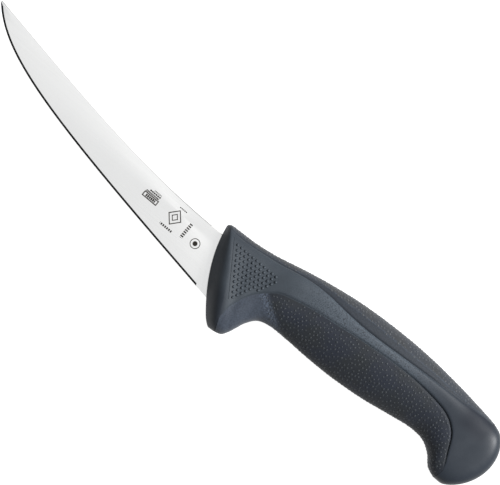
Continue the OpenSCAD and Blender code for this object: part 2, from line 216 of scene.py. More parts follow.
# The camera looks straight down at this point, turned so that the knife lies across the picture.
CAMERA_AIM = (0.0038, 0.01374, 0.011)
CAMERA_HEIGHT = 1.204
CAMERA_TURN = radians(40)
CAMERA_LENS, CAMERA_SENSOR = 200.0, 36.0
OVERHEAD_SIZE, OVERHEAD_HEIGHT = 1.9, 1.75
# The key light's size and distance, and where it comes from: turn about Z from X, and rise.
KEY_SIZE, KEY_DISTANCE = 0.45, 1.3
KEY_TURN = radians(40)
KEY_RISE = radians(42)

# ---- Places that come from the frame ----
blade_low, blade_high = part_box("blade")
TIP_X = blade_low.x / MM
MIDDLE_Z = (blade_low.z + blade_high.z) / 2 / MM
SHIFT_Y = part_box("spine_grip")[1].y / MM - SECTIONS[:, 1].max()


# ---- Settings ----
def size_setting(name, description, default):
    """A size in millimetres that a user can change."""
    return FloatProperty(name=name, description=description + ", mm", default=default)


def length_setting(name, description, default):
    """A length that a user can change."""
    return FloatProperty(name=name, description=description, default=default, unit="LENGTH")


def colour_setting(name, description, default):
    """A colour that a user can change."""
    return FloatVectorProperty(name=name, description=description, default=default, subtype="COLOR")


class KnifeBladeSettings(bpy.types.PropertyGroup):
    """Sizes of the blade and its tang"""

    reach: size_setting("Reach", "Tip to the front of the handle", 137.5)
    tip_rise: size_setting("Tip rise", "Tip above the straight spine", 16.3)
    height: size_setting("Height", "Height at the heel", 24.4)
    root_thick: size_setting("Thickness", "Thickness at the guard", 2.2)
    tang_thick: size_setting("Tang thickness", "Thickness of the unground tang", 2.4)
    tip_thick: size_setting("Tip thickness", "Spine thickness at the tip", 0.9)
    shoulder_thick: size_setting("Shoulder", "Thickness behind the edge", 0.4)
    edge_thick: size_setting("Edge", "Thickness of the edge itself", 0.06)
    honed_width: size_setting("Honed width", "Width of the sharpened edge", 0.9)
    flat_share: FloatProperty(name="Flat share", description="Share of the height left flat", default=0.4)
    steps: IntProperty(name="Steps", description="Steps along the blade", default=150)


class KnifeHandleSettings(bpy.types.PropertyGroup):
    """Fineness of the handle and the size of its soft grips"""

    grip_wall: size_setting("Grip wall", "Wall of the soft grips", 1.8)
    station_steps: IntProperty(name="Stations", description="Rings between two sections", default=9)
    band_points: IntProperty(name="Band points", description="Points across the side band", default=34)
    belly_points: IntProperty(name="Belly points", description="Points from belly to seam", default=34)
    back_points: IntProperty(name="Back points", description="Points from seam to back", default=22)


class KnifeTextureSettings(bpy.types.PropertyGroup):
    """Pips of the side panels and pebbles of the soft grips"""

    pip_pitch: length_setting("Pip pitch", "Between pips in a row", 0.00215)
    pip_slant: length_setting("Pip slant", "Shift of each row", 0.00128)
    pip_rows_gap: length_setting("Row gap", "Between two rows", 0.00186)
    pip_radius: length_setting("Pip radius", "Radius of a pip", 0.00072)
    pip_height: length_setting("Pip height", "Height of a pip", 0.00052)
    pebble_gap: length_setting("Pebble gap", "Least between pebbles", 0.00148)
    pebble_radius: length_setting("Pebble radius", "Radius of a pebble", 0.00062)
    pebble_height: length_setting("Pebble height", "Height of a pebble", 0.00015)
    seed: IntProperty(name="Seed", description="Scatter of the pebbles", default=7)


class KnifeLookSettings(bpy.types.PropertyGroup):
    """Colours of the knife and the brightness of the studio"""

    steel: colour_setting("Steel", "Colour of the blade", (0.81, 0.80, 0.785))
    core: colour_setting("Core", "Colour of the hard core", (0.028, 0.0345, 0.0425))
    # The belly grip's colour is painted darker than the back grip's, a painted shade for its side turned from
    # the key.
    belly: colour_setting("Belly", "Colour of the belly grip", (0.0085, 0.0104, 0.0141))
    spine: colour_setting("Spine", "Colour of the back grip", (0.0190, 0.0215, 0.0255))
    # The edge's colour is a painted reflection: the sharpened edge is painted dark, as it mirrors dark
    # surroundings.
    honed: colour_setting("Honed", "Colour of the edge", (0.018, 0.018, 0.018))
    top_light: FloatProperty(name="Top light", description="Power of the overhead panel, W", default=4.4)
    side_light: FloatProperty(name="Side light", description="Power of the side panel, W", default=42.0)
    ambient: FloatProperty(name="Ambient", description="Strength of the pale surroundings", default=0.08)
    mirrored: FloatProperty(name="Mirrored", description="Strength of what gloss mirrors", default=0.6)
    floor_glow: FloatProperty(name="Floor glow", description="Light given off by the floor", default=1.0)


# ---- Curves ----
def through(rows, s):
    """Smooth curve through a table's rows, at places s counted in rows."""
    s = np.asarray(s, float)
    i = np.clip(np.floor(s).astype(int), 0, len(rows) - 2)
    f = (s - i)[..., None]
    a, b = rows[np.maximum(i - 1, 0)], rows[i]
    c, d = rows[i + 1], rows[np.minimum(i + 2, len(rows) - 1)]
    return b + 0.5 * f * ((c - a) + f * ((2 * a - 5 * b + 4 * c - d) + f * (3 * (b - c) + d - a)))


def eased(pairs, s):
    """Value from (place, value) pairs, eased between them."""
    places, values = np.array(pairs, float).T
    s = np.clip(s, places[0], places[-1])
    i = np.clip(np.searchsorted(places, s, side="right") - 1, 0, len(places) - 2)
    f = (s - places[i]) / (places[i + 1] - places[i])
    return values[i] + (values[i + 1] - values[i]) * f * f * (3 - 2 * f)


def bezier(a, b, c, d, u):
    """Points of a curve that leaves a for b and reaches d from c."""
    a, b, c, d = (np.asarray(p, float) for p in (a, b, c, d))
    u = np.asarray(u, float)[..., None]
    v = 1 - u
    return v**3 * a + 3 * v * v * u * b + 3 * v * u * u * c + u**3 * d


def bell(x, width):
    """1 where x is 0, falling away to 0 over about twice the width."""
    return np.exp(-((x / width) ** 2))


def smooth(low, high, x):
    """0 below low, 1 above high, and a soft step between."""
    f = np.clip((x - low) / (high - low), 0, 1)
    return f * f * (3 - 2 * f)


# ---- Surface of the handle ----
def on_chord(row, t, fullness=1.0):
    """Points of a section's line, with t from the belly to the back. Columns of t are places."""
    back_x, back_y, belly_x, belly_y, bow = (np.asarray(v)[..., None] for v in row)
    x = belly_x + t * (back_x - belly_x) + bow * (4 * t * (1 - t)) ** fullness
    return x, belly_y + t * (back_y - belly_y)


def half_thick(s, t):
    """Half thickness of the handle at sections s and places t on their lines."""
    crown, power = eased(CROWN, s)[..., None], eased(ROUNDNESS, s)[..., None]
    d = np.abs(t - crown) / np.where(t < crown, crown, 1 - crown)
    return eased(HALF_THICK, s)[..., None] * np.maximum(0, 1 - d**power) ** (1 / power)


def outer(s, t):
    """Points of the handle's outer surface, on its upper side."""
    rows = through(SECTIONS, s)
    x, y = on_chord(rows[:, :5].T, t)
    return np.stack([x, y, half_thick(s, t)], -1)


def cut_back(corner, share):
    """How far a rounded corner cuts the front's outline back, at a share of the outline from its end."""
    return corner[1] * (1 - np.sqrt(1 - np.maximum(0, 1 - share / corner[0]) ** 2))


def cap(s, t, angle):
    """Points of the rounded front (s is 0) or butt, at an angle from the end's outline."""
    ax, ay = on_chord([np.array([v]) for v in SECTIONS[s][:5]], t)
    thick = half_thick(np.array([float(s)]), t)
    if s == 0:
        fx, fy = on_chord([np.array([v]) for v in FRONT_LINE], t)
        fx = fx + cut_back(GUARD_CORNER, t) + cut_back(TOP_CORNER, 1 - t)
        run, z = cos(angle) / cos(FRONT_LIP), thick * sin(angle) ** FRONT_STEEPNESS
    else:
        fx, fy = on_chord([np.array([v]) for v in BUTT_LINE], t, BUTT_FULLNESS)
        run = cos(angle)
        z = thick * (1 - run**BUTT_ROUNDNESS) ** (1 / BUTT_ROUNDNESS)
    return np.stack([ax + (fx - ax) * run, ay + (fy - ay) * run, z], -1)[0]


def place(points, start):
    """Millimetres from start, counted from the tip, to metres in the frame."""
    return (points + np.array([TIP_X + start, SHIFT_Y, MIDDLE_Z])) * MM


def arc_places(surface):
    """Finely spaced places on each section's line and how far round the surface each one is."""
    t = (1 - np.cos(np.linspace(0, pi, 721))) / 2
    points = surface(t)
    steps = np.linalg.norm(np.diff(points, axis=1), axis=2)
    return t, np.concatenate([np.zeros((len(points), 1)), np.cumsum(steps, 1)], 1)


def at_arc(t, arc, wanted):
    """Places at the wanted distances round each section."""
    return np.array([np.interp(w, a, t) for w, a in zip(wanted, arc)])


def grid_normals(points):
    """Outward normals of a grid of surface points that runs along X, then from belly to back."""
    along = np.gradient(points, axis=0)
    across = np.gradient(points, axis=1)
    normal = np.cross(along, across)
    length = np.linalg.norm(normal, axis=2, keepdims=True)
    return normal / np.maximum(length, 1e-9)


class Handle:
    """The handle's surface as a grid of points, with its two seams on grid lines."""

    def __init__(self, settings):
        s = np.linspace(0, LAST, LAST * settings.station_steps + 1)
        self.s = s
        t_fine, arc = arc_places(lambda t: outer(s, np.tile(t, (len(s), 1))))
        rows = through(SECTIONS, s)
        low, high = (np.array([np.interp(v, t_fine, a) for v, a in zip(rows[:, seam], arc)])[:, None]
                     for seam in (5, 6))
        belly = 1 - (1 - np.linspace(0, 1, settings.belly_points)) ** SEAM_GRADING
        band = (1 - np.cos(np.linspace(0, pi, settings.band_points))) / 2
        back = np.linspace(0, 1, settings.back_points) ** SEAM_GRADING
        parts = [low * belly, low + (high - low) * band, high + (arc[:, -1:] - high) * back]
        wanted = np.concatenate(parts, 1)
        self.t = at_arc(t_fine, arc, wanted)
        column = np.arange(self.t.shape[1])
        self.on_belly = column < len(belly)
        self.on_back = column >= len(belly) + len(band)
        self.on_band = ~(self.on_belly | self.on_back)
        self.to_belly, self.to_spine = np.abs(wanted - low), np.abs(wanted - high)
        self.to_end = np.minimum(s, LAST - s)[:, None] * END_SPACING
        plain = outer(s, self.t)
        self.normals = grid_normals(plain)
        for side in (0, -1):
            self.normals[:, side] = self.edge_normals(plain, side)
        self.outer = self.sunk(plain, self.creases())
        rebate = settings.grip_wall * np.clip(END_STEP + self.to_end, 0, 1) * np.ones(self.t.shape)
        self.inner = self.sunk(plain, rebate)
        self.plain = plain

    def sunk(self, points, depth):
        """Points moved inwards by depth, without crossing the knife's middle plane."""
        moved = points - depth[..., None] * self.normals
        moved[:, [0, -1], 2] = 0
        moved[..., 2] = np.maximum(moved[..., 2], 0)
        return moved

    @staticmethod
    def edge_normals(points, side):
        """Normals along the belly or back line, which lie in the knife's middle plane."""
        along = np.gradient(points[:, side], axis=0)
        normal = np.stack([along[:, 1], -along[:, 0], np.zeros(len(along))], 1)
        if side:
            normal = -normal
        return normal / np.linalg.norm(normal, axis=1, keepdims=True)

    def seam(self, crease, fall, away, on_grip, fall_width):
        """How deep the surface is pressed in along one seam."""
        return (eased(crease, self.s)[:, None] * bell(away, CREASE_WIDTH)
                + eased(fall, self.s)[:, None] * bell(away, np.where(on_grip, fall_width, BAND_EDGE)))

    def creases(self):
        """How deep the surface is pressed in along both seams, and where the grips end."""
        belly = self.seam(BELLY_CREASE, BELLY_FALL, self.to_belly, self.on_belly, BELLY_FALL_WIDTH)
        spine = self.seam(SPINE_CREASE, SPINE_FALL, self.to_spine, self.on_back, SPINE_FALL_WIDTH)
        along = np.where(self.on_back, 0, belly) + np.where(self.on_belly, 0, spine)
        across = np.where(self.on_band, 0, END_CREASE * bell(self.to_end, CREASE_WIDTH))
        return along * smooth(0, 3, self.to_end) + across


def mirrored(points):
    """The same points on the knife's lower side."""
    return points * np.array([1, 1, -1])


def ring_mesh(name, rings, start, attributes=None):
    """A closed mesh skinned over rings of points. Each ring goes once round the piece."""
    rings = np.asarray(rings)
    count, around = rings.shape[:2]
    index = np.arange(count * around).reshape(count, around)
    nxt = np.roll(index, -1, axis=1)
    walls = np.stack([index[:-1], nxt[:-1], nxt[1:], index[1:]], -1).reshape(-1, 4)
    half = around // 2
    low, high = index[:, :half], index[:, ::-1][:, :half]
    first = np.stack([high[0, :-1], high[0, 1:], low[0, 1:], low[0, :-1]], -1)
    last = np.stack([low[-1, :-1], low[-1, 1:], high[-1, 1:], high[-1, :-1]], -1)
    faces = np.concatenate([walls, first, last])
    mesh = bpy.data.meshes.new(name)
    mesh.from_pydata(place(rings.reshape(-1, 3), start).tolist(), [], faces.tolist())
    for key, values in (attributes or {}).items():
        layer = mesh.attributes.new(key, "FLOAT", "POINT")
        layer.data.foreach_set("value", np.asarray(values, np.float32).ravel())
    return weld(mesh)


def weld(mesh):
    """Merges points that meet, drops what has no area and points every face outwards."""
    gap = 1e-7
    work = bmesh.new()
    work.from_mesh(mesh)
    bmesh.ops.remove_doubles(work, verts=work.verts, dist=gap)
    bmesh.ops.dissolve_degenerate(work, dist=gap, edges=work.edges)
    bmesh.ops.recalc_face_normals(work, faces=work.faces)
    work.to_mesh(mesh)
    work.free()
    return mesh


def add_object(name, mesh):
    """A new object at the origin that shows the mesh."""
    piece = bpy.data.objects.new(name, mesh)
    bpy.context.scene.collection.objects.link(piece)
    return piece


def shade(mesh, angle):
    """Smooth shading that keeps edges sharper than the angle."""
    mesh.shade_smooth()
    mesh.set_sharp_from_angle(angle=angle)


def finished(piece, node):
    """Hands a finished piece to the frame."""
    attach(piece, BODY)
    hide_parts(node)


def evaluated(piece):
    """A piece's shape with its modifiers, as a new mesh."""
    return bpy.data.meshes.new_from_object(piece.evaluated_get(bpy.context.evaluated_depsgraph_get()))


def built(piece):
    """Turns a piece's modifiers into plain mesh."""
    mesh = evaluated(piece)
    piece.modifiers.clear()
    old, piece.data = piece.data, mesh
    mesh.name = piece.name
    bpy.data.meshes.remove(old)
    return piece


def cut_or_join(piece, operation, other):
    """Joins another object to a piece (UNION), or cuts it out of the piece (DIFFERENCE)."""
    modifier = piece.modifiers.new(operation, "BOOLEAN")
    modifier.operation, modifier.solver, modifier.object = operation, "EXACT", other
    built(piece)
    if not piece.data.polygons:
        raise RuntimeError(f"{piece.name} and {other.name} left no mesh")


# ---- Node trees ----
class Wire:
    """A socket in a node tree. Sums on wires add Math nodes."""

    def __init__(self, graph, socket):
        self.graph, self.socket = graph, socket

    def math(self, operation, *values):
        """A step of arithmetic on this tree."""
        return self.graph.add("ShaderNodeMath", {"operation": operation}, dict(enumerate(values)))

    def __add__(self, other):
        return self.math("ADD", self, other)

    __radd__ = __add__

    def __sub__(self, other):
        return self.math("SUBTRACT", self, other)

    def __rsub__(self, other):
        return self.math("SUBTRACT", other, self)

    def __mul__(self, other):
        return self.math("MULTIPLY", self, other)

    __rmul__ = __mul__

    def __truediv__(self, other):
        return self.math("DIVIDE", self, other)

    def __pow__(self, other):
        return self.math("POWER", self, other)

    def __lt__(self, other):
        return self.math("LESS_THAN", self, other)

    def __gt__(self, other):
        return self.math("GREATER_THAN", self, other)

    def __mod__(self, other):
        return self.math("FLOORED_MODULO", self, other)

    def __abs__(self):
        return self.math("ABSOLUTE", self)

    def floor(self):
        """The whole number below."""
        return self.math("FLOOR", self)

    def low(self, other):
        """The lower of two values."""
        return self.math("MINIMUM", self, other)

    def high(self, other):
        """The higher of two values."""
        return self.math("MAXIMUM", self, other)

    def soft_step(self, low, high):
        """0 below low, 1 above high, and a soft step between."""
        return self.graph.add("ShaderNodeMapRange", {"interpolation_type": "SMOOTHSTEP"},
                              {"Value": self, "From Min": low, "From Max": high})


class Graph:
    """Adds nodes to one tree."""

    def __init__(self, tree):
        self.tree = tree

    def node(self, kind, settings=None, inputs=None):
        """A new node. Its settings are set first, then the values or links of its sockets."""
        made = self.tree.nodes.new(kind)
        for key, value in (settings or {}).items():
            setattr(made, key, value)
        for key, value in (inputs or {}).items():
            self.plug(value, made.inputs[key])
        return made

    def add(self, kind, settings=None, inputs=None, out=0):
        """The same, returning one of its outputs."""
        return Wire(self, self.node(kind, settings, inputs).outputs[out])

    def plug(self, value, socket):
        """Links a wire to a socket, or sets the socket to a plain value."""
        if isinstance(value, Wire):
            self.tree.links.new(value.socket, socket)
        else:
            socket.default_value = value

    def mix(self, factor, first, second):
        """A colour between two colours."""
        node = self.node("ShaderNodeMix", {"data_type": "RGBA"}, {0: factor})
        for value, socket in ((first, node.inputs[6]), (second, node.inputs[7])):
            self.plug(value if isinstance(value, Wire) else (*value[:3], 1.0), socket)
        return Wire(self, node.outputs[2])

    def vector(self, operation, *values, out=0):
        """A step of vector arithmetic."""
        return self.add("ShaderNodeVectorMath", {"operation": operation}, dict(enumerate(values)), out)

    def scaled(self, vector, factor):
        """A vector or colour times a number."""
        return self.add("ShaderNodeVectorMath", {"operation": "SCALE"}, {0: vector, "Scale": factor})

    def split(self, vector):
        """The three parts of a vector."""
        node = self.node("ShaderNodeSeparateXYZ", inputs={0: vector})
        return [Wire(self, socket) for socket in node.outputs]

    def noise(self, vector, scale, detail=2.0, roughness=0.5):
        """Noise about 0.5, with features about one over scale wide."""
        return self.add("ShaderNodeTexNoise", None,
                        {"Vector": vector, "Scale": scale, "Detail": detail, "Roughness": roughness})


# ---- Geometry trees ----
def geometry_tree(name, sockets):
    """A geometry tree with a mesh in, a mesh out and named inputs."""
    tree = bpy.data.node_groups.new(name, "GeometryNodeTree")
    tree.interface.new_socket("Mesh", in_out="INPUT", socket_type="NodeSocketGeometry")
    for label, (kind, default) in sockets.items():
        socket = tree.interface.new_socket(label, in_out="INPUT", socket_type="NodeSocket" + kind)
        if default is not None:
            socket.default_value = default
    tree.interface.new_socket("Mesh", in_out="OUTPUT", socket_type="NodeSocketGeometry")
    graph = Graph(tree)
    entry = tree.nodes.new("NodeGroupInput")
    inputs = {socket.name: Wire(graph, socket) for socket in entry.outputs if socket.name}
    return tree, graph, inputs


def close_tree(graph, mesh, material):
    """Ends a tree: instances made real, then one material on everything."""
    real = graph.add("GeometryNodeRealizeInstances", None, {0: mesh})
    dressed = graph.add("GeometryNodeSetMaterial", None, {"Geometry": real, "Material": material})
    end = graph.tree.nodes.new("NodeGroupOutput")
    graph.plug(dressed, end.inputs[0])


def stored(graph, mesh, name, kind, value):
    """A mesh with a value kept on each of its points."""
    return graph.add("GeometryNodeStoreNamedAttribute", {"data_type": kind, "domain": "POINT"},
                     {"Geometry": mesh, "Name": name, "Value": value})


def kept_value(graph, name, kind="FLOAT"):
    """The value that a mesh keeps under a name."""
    return graph.add("GeometryNodeInputNamedAttribute", {"data_type": kind}, {"Name": name})


def dome(graph, given, fineness, sunk):
    """A low dome, as a closed squashed ball sunk a share of its height into the surface."""
    (segments, rings), radius = fineness, given["Radius"]
    ball = graph.add("GeometryNodeMeshUVSphere", None, {"Segments": segments, "Rings": rings, "Radius": 1.0})
    up = graph.split(graph.add("GeometryNodeInputPosition"))[2]
    marked = stored(graph, stored(graph, ball, "raised", "FLOAT", up.high(0.0)), "pebbled", "FLOAT", 1.0)
    tall = given["Height"] / (1 - sunk)
    size = graph.add("ShaderNodeCombineXYZ", None, {0: radius, 1: radius, 2: tall})
    down = graph.add("ShaderNodeCombineXYZ", None, {2: tall * -sunk})
    shaped = graph.add("GeometryNodeTransform", None,
                       {"Geometry": marked, "Translation": down, "Scale": size})
    return graph.add("GeometryNodeSetShadeSmooth", None, {0: shaped})


def pip_tree():
    """Domes on a slanted lattice, dropped onto both sides of a mesh where its panel attribute is set."""
    tree, graph, given = geometry_tree("side_pips", {
        "Columns": ("Int", PIP_COLUMNS), "Rows": ("Int", PIP_ROWS), "Corner": ("Vector", (0, 0, 0)),
        "Pitch": ("Float", 0.002), "Slant": ("Float", 0.001), "Row Gap": ("Float", 0.002),
        "Radius": ("Float", 0.0007), "Height": ("Float", 0.0004),
        "Material": ("Material", None)})
    lattice = graph.add("GeometryNodeMeshGrid", None,
                        {"Vertices X": given["Columns"], "Vertices Y": given["Rows"]})
    index = graph.add("GeometryNodeInputIndex")
    column, row = (index / given["Rows"] + 0.001).floor(), index % given["Rows"]
    shift = graph.add("ShaderNodeCombineXYZ", None, {
        0: column * given["Pitch"] + row * given["Slant"], 1: row * given["Row Gap"] * -1})
    spots = graph.add("GeometryNodeSetPosition", None, {
        "Geometry": lattice, "Position": graph.vector("ADD", given["Corner"], shift)})
    pip = dome(graph, given, PIP_FINENESS, PIP_SUNK)
    joined = graph.node("GeometryNodeJoinGeometry")
    graph.plug(given["Mesh"], joined.inputs[0])
    for way in (-1, 1):
        start = graph.vector("MULTIPLY_ADD", graph.add("GeometryNodeInputPosition"), (1, 1, 0),
                             (0, 0, -way * DROP))
        ray = graph.node("GeometryNodeRaycast", {"data_type": "FLOAT", "mapping": "INTERPOLATED"}, {
            "Target Geometry": given["Mesh"], "Attribute": kept_value(graph, "panel"),
            "Source Position": start, "Ray Direction": (0, 0, way), "Ray Length": 2 * DROP})
        hit, position, normal = (Wire(graph, ray.outputs[name])
                                 for name in ("Is Hit", "Hit Position", "Hit Normal"))
        panel = Wire(graph, [o for o in ray.outputs if o.name == "Attribute" and o.enabled][0])
        keep = hit * (panel > 0.5)
        turned = graph.add("FunctionNodeAlignRotationToVector", {"axis": "Z"}, {"Vector": normal})
        held = stored(graph, spots, "turned", "QUATERNION", turned)
        kept = stored(graph, held, "kept", "BOOLEAN", keep)
        landed = graph.add("GeometryNodeSetPosition", None, {"Geometry": kept, "Position": position})
        on = graph.add("GeometryNodeInstanceOnPoints", None, {
            "Points": landed, "Instance": pip,
            "Selection": kept_value(graph, "kept", "BOOLEAN"),
            "Rotation": kept_value(graph, "turned", "QUATERNION")})
        graph.plug(on, joined.inputs[0])
    close_tree(graph, Wire(graph, joined.outputs[0]), given["Material"])
    return tree


def pebble_tree():
    """Low domes scattered over a mesh where its pebbled attribute is set."""
    tree, graph, given = geometry_tree("grip_pebbles", {
        "Gap": ("Float", 0.0014), "Radius": ("Float", 0.0006), "Height": ("Float", 0.0002),
        "Seed": ("Int", 7), "Material": ("Material", None)})
    spots = graph.node("GeometryNodeDistributePointsOnFaces", {"distribute_method": "POISSON"}, {
        "Mesh": given["Mesh"], "Distance Min": given["Gap"], "Density Max": PEBBLE_TRIES,
        "Density Factor": kept_value(graph, "pebbled"), "Seed": given["Seed"]})
    pebble = dome(graph, given, PEBBLE_FINENESS, PEBBLE_SUNK)
    sizes = graph.node("FunctionNodeRandomValue", {"data_type": "FLOAT"}, {"Seed": given["Seed"]})
    sizes.inputs[2].default_value, sizes.inputs[3].default_value = PEBBLE_SIZES
    on = graph.add("GeometryNodeInstanceOnPoints", None, {
        "Points": Wire(graph, spots.outputs["Points"]), "Instance": pebble,
        "Rotation": Wire(graph, spots.outputs["Rotation"]), "Scale": Wire(graph, sizes.outputs[1])})
    joined = graph.node("GeometryNodeJoinGeometry")
    graph.plug(given["Mesh"], joined.inputs[0])
    graph.plug(on, joined.inputs[0])
    close_tree(graph, Wire(graph, joined.outputs[0]), given["Material"])
    return tree


def run_tree(piece, tree, values):
    """Gives a piece the tree as a modifier with these inputs, and makes the result plain mesh."""
    modifier = piece.modifiers.new(tree.name, "NODES")
    modifier.node_group = tree
    names = {item.name: item.identifier for item in tree.interface.items_tree if item.in_out == "INPUT"}
    for label, value in values.items():
        modifier[names[label]] = value
    return built(piece)


# ---- Blade ----
def entry_x(y):
    """Where the handle's front stands at height y, from the handle's front at the spine."""
    t = (y - FRONT_LINE[3]) / (FRONT_LINE[1] - FRONT_LINE[3])
    return on_chord([np.array([v]) for v in FRONT_LINE], np.array([t]))[0][0][0]


class Blade:
    """Outlines and thickness of the blade, in millimetres from the tip."""

    def __init__(self, settings):
        self.made = settings
        self.heel_y = SPINE_Y - settings.height
        self.heel = np.array([settings.reach + entry_x(self.heel_y) - HEEL_GAP, self.heel_y])
        self.spine_end = np.array([settings.reach + entry_x(SPINE_Y) - HEEL_GAP, SPINE_Y])
        self.tip = np.array([0.0, SPINE_Y + settings.tip_rise])
        self.plunge = self.spine_end[0] + HEEL_GAP - PLUNGE_GAP

    def spine(self, u):
        """Points of the blade's back, from the tip."""
        lead = self.made.reach * TIP_LEAD * np.array([1, -TIP_SLOPE])
        return bezier(self.tip, self.tip + lead, self.spine_end - [SPINE_LEAD, 0], self.spine_end, u)

    def edge(self, u):
        """Points of the cutting edge, from the tip."""
        start = self.tip - [0, TIP_BLUNT]
        sweep = TIP_SWEEP * np.array([cos(TIP_ANGLE), -sin(TIP_ANGLE)])
        return bezier(start, start + sweep, self.heel - EDGE_LEAD * np.array([1, -HEEL_SLOPE]), self.heel, u)

    def flat(self, x):
        """Thickness of the blade's flats, which taper towards the tip."""
        thin, thick = self.made.tip_thick, self.made.root_thick
        return thin + (thick - thin) * x / self.plunge

    def ring(self, edge, spine, honed, thick=None, slant=1.0):
        """One section: edge, shoulder, foot of the flat, and the broken corner of the spine."""
        made = self.made
        across = spine - edge
        height = np.linalg.norm(across)
        shoulder = edge + min(made.honed_width / slant, MOST_HONED * height) / height * across
        foot = edge + (1 - made.flat_share) * across
        corner = spine - min(SPINE_BREAK, MOST_BROKEN * height) / height * across
        half = [(made.shoulder_thick + (made.edge_thick - made.shoulder_thick) * honed) / 2,
                made.shoulder_thick / 2]
        most = made.shoulder_thick + TIP_FALL * height
        half += [(thick or min(most, self.flat(p[0]))) / 2 for p in (foot, corner, spine)]
        half[-1] -= min(SPINE_BREAK, half[-1] / 2)
        side = np.array([[*p, h] for p, h in zip((edge, shoulder, foot, corner, spine), half)])
        return np.concatenate([side, mirrored(side)[::-1]])

    def rings(self):
        """Sections from the tip into the handle. The last three are past the sharpened edge."""
        u = np.linspace(0, 1, self.made.steps + 1)
        edge, spine = self.edge(u), self.spine(u)
        along, across = np.gradient(edge, axis=0), spine - edge
        slants = np.abs(along[:, 0] * across[:, 1] - along[:, 1] * across[:, 0])
        slants /= np.linalg.norm(along, axis=1) * np.linalg.norm(across, axis=1)
        made = [self.ring(e, s, 1, None, slant) for e, s, slant in zip(edge, spine, slants)]
        for run, honed, thick in ((RUN_OUT, 0, None), (HEEL_GAP - PLUNGE_GAP, 0, None),
                                  (HEEL_GAP + ROOT_DEPTH, 0, self.made.root_thick)):
            heel = self.heel + run * np.array([1, -HEEL_SLOPE])
            made.append(self.ring(heel, self.spine_end + [run, 0], honed, thick))
        return made

    def tang_outline(self):
        """Outline of the root plate with the tang bar behind it, from the handle's front."""
        top, bottom = SPINE_Y - ROOT_INSET, self.heel_y + ROOT_INSET
        high, low = entry_x(top), entry_x(bottom)
        plate = [np.array(p) for p in ((low + ROOT_START, bottom), (high + ROOT_START, top),
                                       (high + ROOT_DEPTH + ROOT_START, top), (low + ROOT_DEPTH, bottom))]
        start, end = np.array(TANG_START), np.array(TANG_END)
        way = (end - start) / np.linalg.norm(end - start)
        up = np.array([-way[1], way[0]])
        radius = TANG_HEIGHT / 2
        back = plate[3] - plate[2]
        share = np.linalg.solve(np.stack([way, -back], 1), plate[2] - (start - radius * up))[1]
        meets = plate[2] + share * back
        centre = end - radius * way
        turns = np.linspace(pi / 2, -pi / 2, 25)
        round_end = [centre + radius * (cos(a) * way + sin(a) * up) for a in turns]
        return [plate[0], plate[1], start + radius * up, *round_end, meets, plate[3]]

    def lock_hole(self, i):
        """Outline of one of the tang's holes."""
        start, end = np.array(TANG_START), np.array(TANG_END)
        centre = start + (end - start) * (LOCK_FROM + (1 - LOCK_FROM) * (i + LOCK_INTO) / LOCK_HOLES)
        turns = np.linspace(0, 2 * pi, 32, endpoint=False)
        return [centre + LOCK_D / 2 * np.array([cos(a), sin(a)]) for a in turns]

    def tang(self):
        """The tang as an object: a flat plate with the lock holes through it."""
        curve = bpy.data.curves.new("tang", "CURVE")
        curve.dimensions, curve.fill_mode = "2D", "BOTH"
        curve.extrude = self.made.tang_thick / 2 * MM
        for outline in (self.tang_outline(), *(self.lock_hole(i) for i in range(LOCK_HOLES))):
            points = place(np.array([[*p, 0] for p in outline]), self.made.reach)
            spline = curve.splines.new("POLY")
            spline.points.add(len(points) - 1)
            spline.points.foreach_set("co", np.concatenate([points, np.ones((len(points), 1))], 1).ravel())
            spline.use_cyclic_u = True
        flat = add_object("tang_curve", curve)
        mesh = evaluated(flat)
        bpy.data.objects.remove(flat)
        return add_object("tang_plate", weld(mesh))


# ---- Materials ----
def new_material(name, **constants):
    """A material with a Principled shader. Returns it, its graph and the shader node."""
    material = bpy.data.materials.new(name)
    material.use_nodes = True
    tree = material.node_tree
    tree.nodes.clear()
    graph = Graph(tree)
    shader = graph.node("ShaderNodeBsdfPrincipled")
    out = graph.node("ShaderNodeOutputMaterial")
    tree.links.new(shader.outputs[0], out.inputs[0])
    for key, value in constants.items():
        shader.inputs[key.replace("_", " ")].default_value = value
    return material, graph, shader


def knife_place(graph):
    """Object coordinates in millimetres: X from the tip, Y from the knife's axis, Z from its middle."""
    point = graph.add("ShaderNodeTexCoord", out=3)
    return graph.vector("SUBTRACT", graph.scaled(point, 1 / MM), (TIP_X, SHIFT_Y, MIDDLE_Z))


def attribute(graph, name):
    """A value kept on the mesh, for use in a material."""
    return graph.add("ShaderNodeAttribute", {"attribute_name": name}, out=2)


def bump(graph, height, distance, strength=1.0):
    """A normal tilted by a height that isn't in the mesh. The distance is in metres."""
    return graph.add("ShaderNodeBump", None, {"Height": height, "Distance": distance, "Strength": strength})


def line_mask(distance, width):
    """1 on a line, where the distance to it is less than half its width."""
    return 1 - abs(distance).soft_step(width * 0.3, width * 0.7)


def box_distance(x, y, centre, half):
    """About how far outside a rectangle a point is."""
    return (abs(x - centre[0]) - half[0]).high(abs(y - centre[1]) - half[1])


def inside(x, y, centre, half):
    """1 inside a rectangle and 0 outside it."""
    return box_distance(x, y, centre, half) < 0


def etched_marks(graph, x, y):
    """Plain etched marks by the guard: a framed bar, a lozenge, rows of dashes and a ring."""
    marks = line_mask(box_distance(x, y, *FRAMED_BAR), MARK_STROKE)
    for centre, half, way, per_mm, filled in DASHES:
        run = x if way == "x" else y
        marks += inside(x, y, centre, half) * ((run * per_mm % 1.0) < filled)
    centre, slopes = LOZENGE
    lozenge = abs(x - centre[0]) * slopes[0] + abs(y - centre[1]) * slopes[1]
    for size, stroke in LOZENGE_LINES:
        marks += line_mask(lozenge - size, stroke)
    away = graph.add("ShaderNodeCombineXYZ", None, {0: x - RING_CENTRE[0], 1: y - RING_CENTRE[1]})
    radius = graph.vector("LENGTH", away, out=1)
    marks += line_mask(radius - RING_RADIUS, RING_STROKE) + (1 - radius.soft_step(*RING_DOT))
    return marks.low(1.0)


